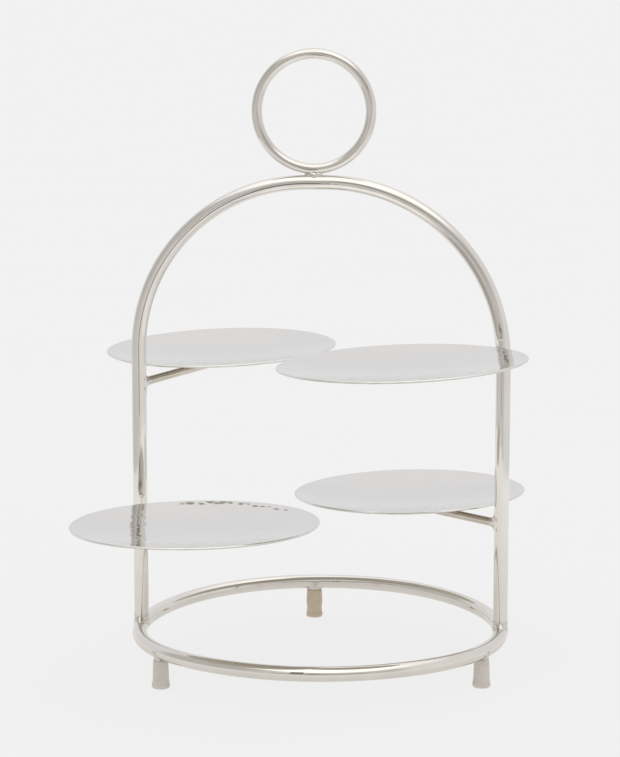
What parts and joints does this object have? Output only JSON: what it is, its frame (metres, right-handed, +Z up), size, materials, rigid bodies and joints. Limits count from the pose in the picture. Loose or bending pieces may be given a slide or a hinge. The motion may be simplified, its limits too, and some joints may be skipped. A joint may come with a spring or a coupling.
{
  "type": "tiered cake stand",
  "caption": "Free-standing tiered cake stand: round hammered plates on arms off an arched tube, with a carry ring on top and a round base ring on capped feet.",
  "frame": {"origin": "on the table, at the base ring's axis", "axes": "+Z up; the arch lies in the XZ plane with its legs at -X and +X; the front of the stand faces -Y"},
  "size_m": [0.3652, 0.4086, 0.5106],
  "materials": {
    "polished_nickel": "polished",
    "plated_weld": "polished over a cast-looking bead",
    "hammered_plate": "polished, finely hammered",
    "clear_cap": "cloudy clear soft plastic"
  },
  "bodies": {
    "root": {"base_ring": "polished_nickel", "arch_tube": "polished_nickel", "weld_leg_left": "plated_weld", "weld_leg_right": "plated_weld", "carry_ring": "polished_nickel", "weld_carry_ring": "plated_weld", "support_arm_upper_left": "polished_nickel", "weld_arm_upper_left": "plated_weld", "plate_upper_left": "hammered_plate", "weld_plate_upper_left": "plated_weld", "support_arm_upper_right": "polished_nickel", "weld_arm_upper_right": "plated_weld", "plate_upper_right": "hammered_plate", "weld_plate_upper_right": "plated_weld", "support_arm_lower_left": "polished_nickel", "weld_arm_lower_left": "plated_weld", "plate_lower_left": "hammered_plate", "weld_plate_lower_left": "plated_weld", "support_arm_lower_right": "polished_nickel", "weld_arm_lower_right": "plated_weld", "plate_lower_right": "hammered_plate", "weld_plate_lower_right": "plated_weld", "foot_stud_back": "polished_nickel", "weld_foot_back": "plated_weld", "foot_cap_back": "clear_cap", "foot_stud_front_left": "polished_nickel", "weld_foot_front_left": "plated_weld", "foot_cap_front_left": "clear_cap", "foot_stud_front_right": "polished_nickel", "weld_foot_front_right": "plated_weld", "foot_cap_front_right": "clear_cap"}
  },
  "joints": []
}
